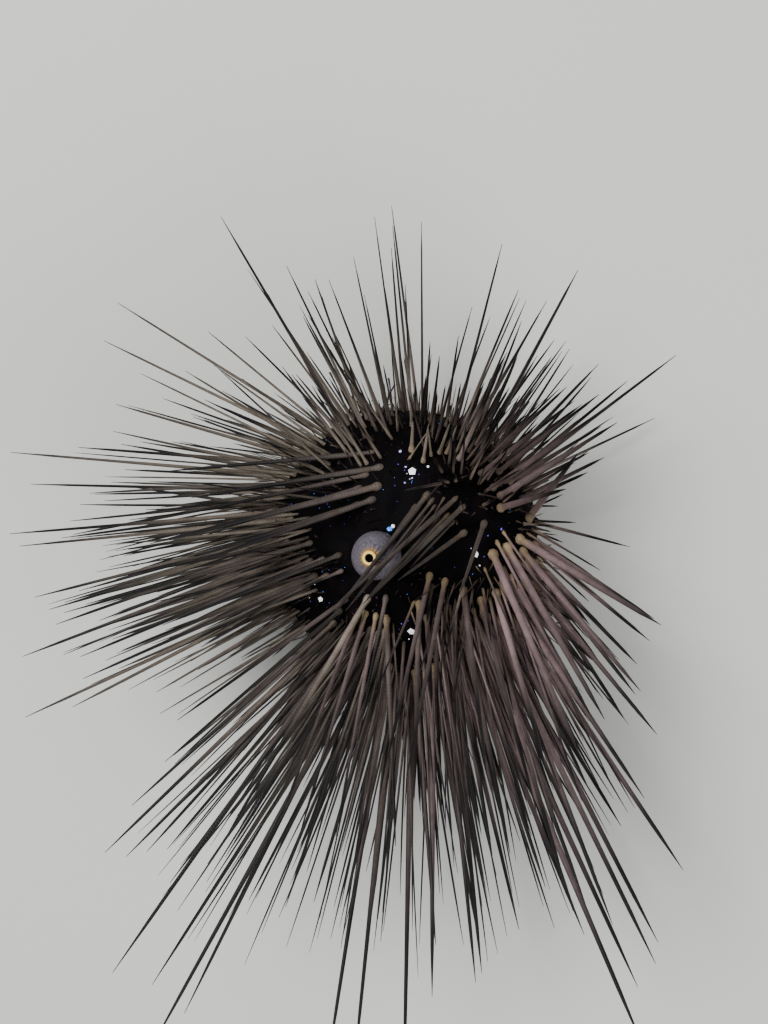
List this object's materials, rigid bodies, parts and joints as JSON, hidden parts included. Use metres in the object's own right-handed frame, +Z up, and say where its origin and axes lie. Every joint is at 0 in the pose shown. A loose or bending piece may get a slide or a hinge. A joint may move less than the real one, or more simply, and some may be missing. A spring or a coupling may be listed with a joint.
{
  "type": "long-spined sea urchin",
  "caption": "Life-size black long-spined sea urchin standing mouth down, its needle spines gathered in tufts round a low shell with a bulbous anal cone and amber ring on top.",
  "frame": {"origin": "on the floor, under the middle of the whole spread of spines; the shell's own axis stands about 30 mm from it, away from the longest spines", "axes": "+Z up along the shell's axis, from the mouth to the anal cone; +X to the right and +Y to the top of the picture's frame"},
  "size_m": [0.185, 0.2206, 0.1044],
  "materials": {
    "spiny_shell": "black-purple needle spines with a dusky sheen, on thin black skin over the shell",
    "disc_skin": "thin wet black skin with small blue spots",
    "cone_skin": "smoky grey-mauve membrane, blown up and slightly translucent",
    "vent_ring": "amber to cream ring round the black vent",
    "mouth_skin": "soft red-brown skin round the mouth",
    "teeth": "smooth ivory teeth"
  },
  "bodies": {
    "root": {"interambulacrum_1": "spiny_shell", "interambulacrum_2": "spiny_shell", "interambulacrum_3": "spiny_shell", "interambulacrum_4": "spiny_shell", "interambulacrum_5": "spiny_shell", "ambulacrum_1": "spiny_shell", "ambulacrum_2": "spiny_shell", "ambulacrum_3": "spiny_shell", "ambulacrum_4": "spiny_shell", "ambulacrum_5": "spiny_shell", "apical_disc": "disc_skin", "anal_cone": "cone_skin", "anal_ring": "vent_ring", "peristome": "mouth_skin", "lantern": "teeth"}
  },
  "joints": []
}
